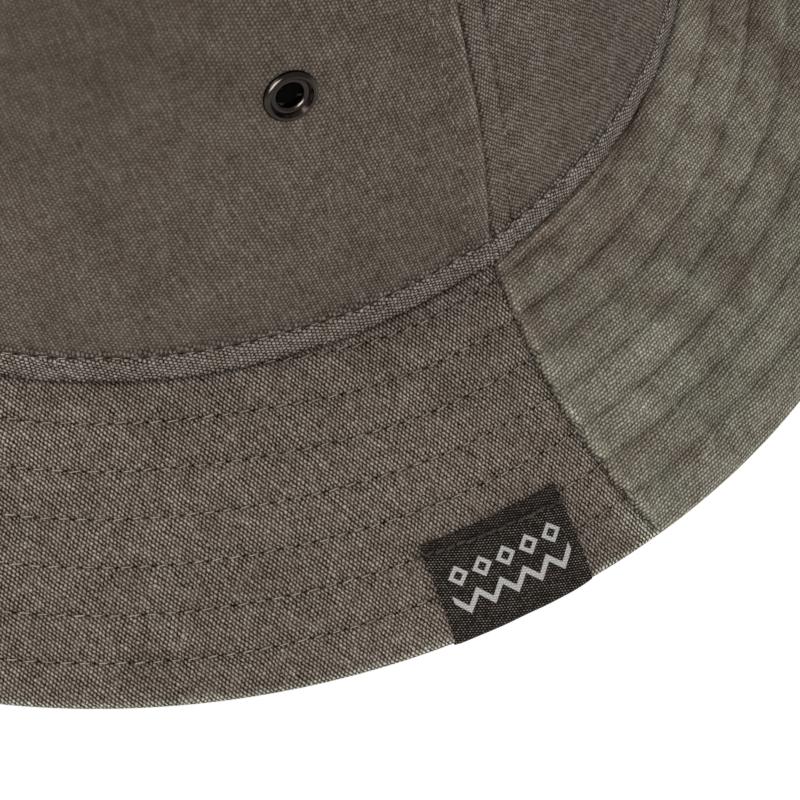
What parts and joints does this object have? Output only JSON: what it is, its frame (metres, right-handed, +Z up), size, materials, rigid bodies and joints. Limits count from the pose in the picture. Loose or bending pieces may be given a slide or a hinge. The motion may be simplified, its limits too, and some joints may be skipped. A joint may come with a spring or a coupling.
{
  "type": "bucket hat",
  "caption": "Soft cotton canvas bucket hat: oval crown with metal eyelets, downward stitched brim, inner sweatband, woven tab on the brim edge.",
  "frame": {"origin": "on the surface the hat stands on, under the middle of the brim", "axes": "+Z up through the crown, -Y the way the wearer faces, +X the wearer's left, where the brim label is"},
  "size_m": [0.2684, 0.2914, 0.1306],
  "materials": {
    "canvas": "matte",
    "interlining": "matte",
    "band": "matte",
    "tape": "matte",
    "thread": "matte",
    "black_thread": "matte",
    "eyelet_metal": "gunmetal plating",
    "woven_label": "satin",
    "satin_label": "satin"
  },
  "bodies": {
    "hat": {"crown_front_panel": "canvas", "crown_back_panel": "canvas", "crown_tip": "canvas", "brim_top_front_panel": "canvas", "brim_top_back_panel": "canvas", "brim_under_front_panel": "canvas", "brim_under_back_panel": "canvas", "brim_interlining": "interlining", "sweatband": "band", "tip_seam_tape": "tape", "left_side_seam_tape": "tape", "right_side_seam_tape": "tape", "brim_topstitch_row_1": "thread", "brim_topstitch_row_2": "thread", "brim_topstitch_row_3": "thread", "brim_topstitch_row_4": "thread", "brim_topstitch_row_5": "thread", "brim_topstitch_row_6": "thread", "brim_topstitch_row_7": "thread", "crown_foot_topstitch": "thread", "crown_tip_topstitch": "thread", "left_seam_front_topstitch": "thread", "left_seam_back_topstitch": "thread", "right_seam_front_topstitch": "thread", "right_seam_back_topstitch": "thread", "left_front_eyelet": "eyelet_metal", "left_front_eyelet_washer": "eyelet_metal", "left_back_eyelet": "eyelet_metal", "left_back_eyelet_washer": "eyelet_metal", "right_front_eyelet": "eyelet_metal", "right_front_eyelet_washer": "eyelet_metal", "right_back_eyelet": "eyelet_metal", "right_back_eyelet_washer": "eyelet_metal", "brim_label": "woven_label", "brim_label_stitch": "black_thread"},
    "care_label": {"care_label": "satin_label"}
  },
  "joints": [
    {"name": "care_label_hinge", "type": "hinge", "parent": "hat", "child": "care_label", "pos_m": [0, 0.0819, 0.11085], "axis": [-1, 0, 0], "range_deg": [-12, 90]}
  ]
}
